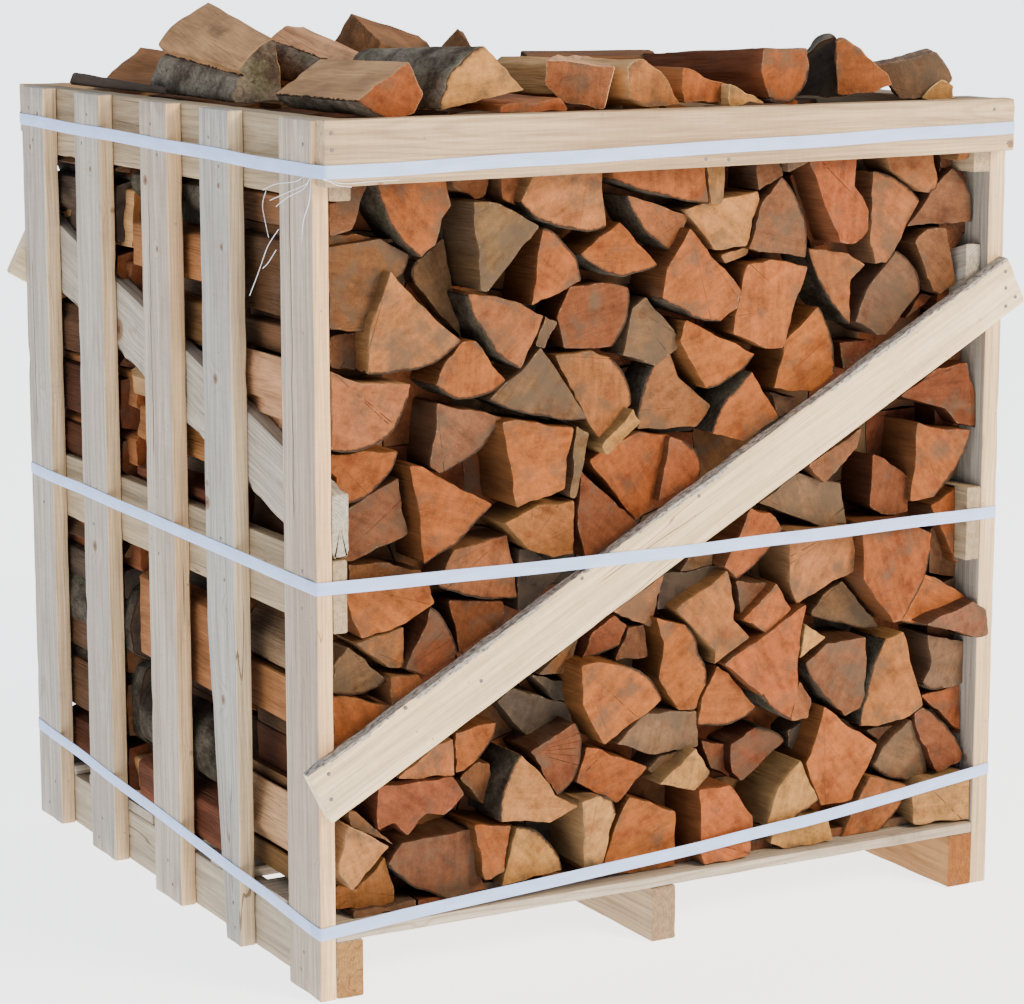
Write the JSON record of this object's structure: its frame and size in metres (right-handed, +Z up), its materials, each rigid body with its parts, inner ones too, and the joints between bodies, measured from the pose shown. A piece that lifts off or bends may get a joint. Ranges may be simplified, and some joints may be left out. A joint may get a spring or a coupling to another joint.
{
  "type": "firewood crate",
  "caption": "Slatted wooden crate on a pallet base, filled with stacked split firewood and loose billets on top, held by diagonal braces and plastic straps.",
  "frame": {"origin": "on the ground under the middle of the crate's outline box", "axes": "+Z up; +X to the right along the front, which shows the ends of the billets; +Y from the front towards the back"},
  "size_m": [1.098, 1.0552, 1.2366],
  "materials": {
    "pine_board": "rough sawn pale pine, cream to pinkish, with grain and small knots",
    "weathered_board": "rough sawn board gone grey-beige",
    "split_wood": "split hardwood, orange to tan faces, grey-brown bark",
    "strap_plastic": "white-blue woven polyester strap"
  },
  "bodies": {
    "root": {"brace_back": "pine_board", "brace_front": "pine_board", "deck_board_1": "weathered_board", "deck_board_2": "weathered_board", "deck_board_3": "weathered_board", "deck_board_4": "weathered_board", "deck_board_5": "weathered_board", "deck_board_6": "weathered_board", "deck_board_7": "weathered_board", "firewood_row_back": "split_wood", "firewood_row_front": "split_wood", "firewood_row_middle": "split_wood", "loose_billet_1": "split_wood", "loose_billet_10": "split_wood", "loose_billet_11": "split_wood", "loose_billet_12": "split_wood", "loose_billet_13": "split_wood", "loose_billet_14": "split_wood", "loose_billet_15": "split_wood", "loose_billet_16": "split_wood", "loose_billet_17": "split_wood", "loose_billet_18": "split_wood", "loose_billet_19": "split_wood", "loose_billet_2": "split_wood", "loose_billet_20": "split_wood", "loose_billet_21": "split_wood", "loose_billet_22": "split_wood", "loose_billet_23": "split_wood", "loose_billet_24": "split_wood", "loose_billet_3": "split_wood", "loose_billet_4": "split_wood", "loose_billet_5": "split_wood", "loose_billet_6": "split_wood", "loose_billet_7": "split_wood", "loose_billet_8": "split_wood", "loose_billet_9": "split_wood", "side_diagonal_left": "weathered_board", "side_diagonal_right": "weathered_board", "side_mid_rail_left": "pine_board", "side_mid_rail_right": "pine_board", "side_slat_left_1": "pine_board", "side_slat_left_2": "pine_board", "side_slat_left_3": "pine_board", "side_slat_left_4": "pine_board", "side_slat_left_5": "pine_board", "side_slat_right_1": "pine_board", "side_slat_right_2": "pine_board", "side_slat_right_3": "pine_board", "side_slat_right_4": "pine_board", "side_slat_right_5": "pine_board", "side_top_board_left": "pine_board", "side_top_board_right": "pine_board", "strap_bottom": "strap_plastic", "strap_middle": "strap_plastic", "strap_top": "strap_plastic", "stringer_left": "pine_board", "stringer_middle": "pine_board", "stringer_right": "pine_board", "top_rail_back": "pine_board", "top_rail_front": "pine_board"}
  },
  "joints": []
}
